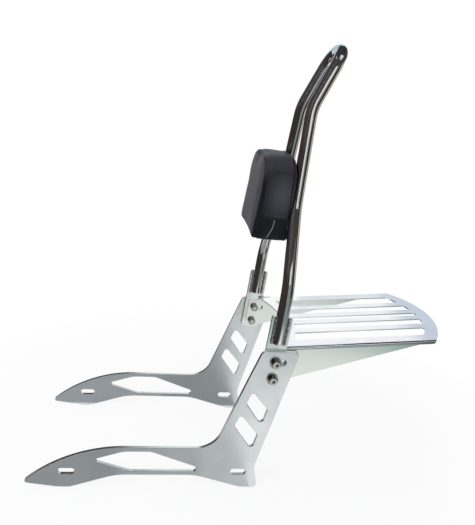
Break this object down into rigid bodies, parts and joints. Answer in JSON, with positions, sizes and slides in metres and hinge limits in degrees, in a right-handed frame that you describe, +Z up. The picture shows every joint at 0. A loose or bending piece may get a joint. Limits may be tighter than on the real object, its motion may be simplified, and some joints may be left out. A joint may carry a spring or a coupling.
{
  "type": "motorcycle sissy bar",
  "caption": "Motorcycle backrest: a bent chrome tube loop with an upholstered pad and a folded, slatted luggage rack, carried by slotted side plates with tapering windows.",
  "frame": {"origin": "centre of the bounding box, at the bottom of the heels", "axes": "+X rearward along the rack, +Y to the rider's right, +Z up"},
  "size_m": [0.6912, 0.2772, 0.7257],
  "materials": {
    "bar_chrome": "polished chrome plate",
    "plate_satin": "satin plated steel",
    "rack_chrome": "bright plated sheet",
    "tab_satin": "satin plated strip",
    "weld": "plated weld bead",
    "fastener": "bright plated fastener",
    "pad_hardware": "zinc-plated steel",
    "vinyl": "soft black vinyl",
    "foam": "open-cell foam",
    "board": "plywood"
  },
  "bodies": {
    "root": {"backrest_bar": "bar_chrome", "luggage_rack": "rack_chrome", "pad_bracket": "tab_satin", "pad_bracket_welds": "weld", "pad_board": "board", "pad_foam": "foam", "pad_cover": "vinyl", "pad_screws": "pad_hardware", "pad_washers": "pad_hardware", "pad_tee_nuts": "pad_hardware", "left_side_plate": "plate_satin", "left_bar_tab": "tab_satin", "left_tab_welds": "weld", "left_joint_bolts": "fastener", "left_joint_washers": "fastener", "left_joint_nuts": "fastener", "right_side_plate": "plate_satin", "right_bar_tab": "tab_satin", "right_tab_welds": "weld", "right_joint_bolts": "fastener", "right_joint_washers": "fastener", "right_joint_nuts": "fastener"}
  },
  "joints": []
}
